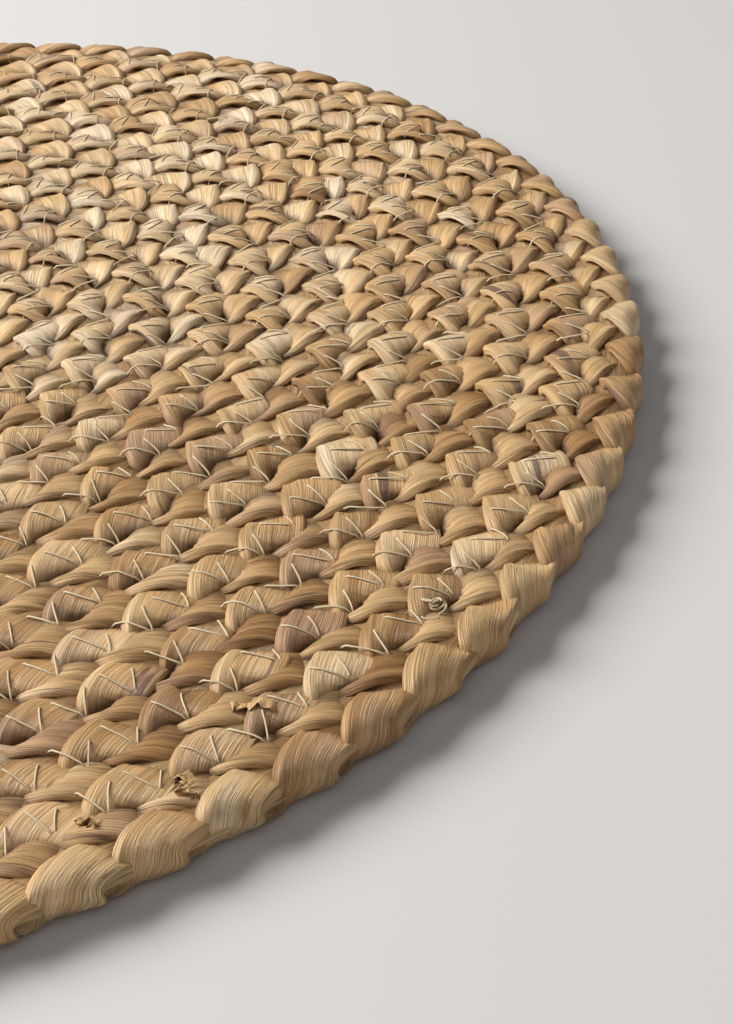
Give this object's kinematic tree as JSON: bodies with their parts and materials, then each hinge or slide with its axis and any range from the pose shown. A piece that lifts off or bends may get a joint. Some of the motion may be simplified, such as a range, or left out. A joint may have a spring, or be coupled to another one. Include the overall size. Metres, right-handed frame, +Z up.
{
  "type": "round braided placemat",
  "caption": "Flat round placemat of one braid of dried plant fibre, coiled from the middle outwards and sewn row to row, that lies on a table under a plate.",
  "frame": {"origin": "middle of the mat's box, on the surface that it lies on", "axes": "+Z up out of the upper face; the picture looks from the -Y side towards +Y"},
  "size_m": [0.3804, 0.3772, 0.01],
  "materials": {
    "straw": "dry satin plant fibre, straw and tan"
  },
  "bodies": {
    "root": {"braided_mat": "straw"}
  },
  "joints": []
}
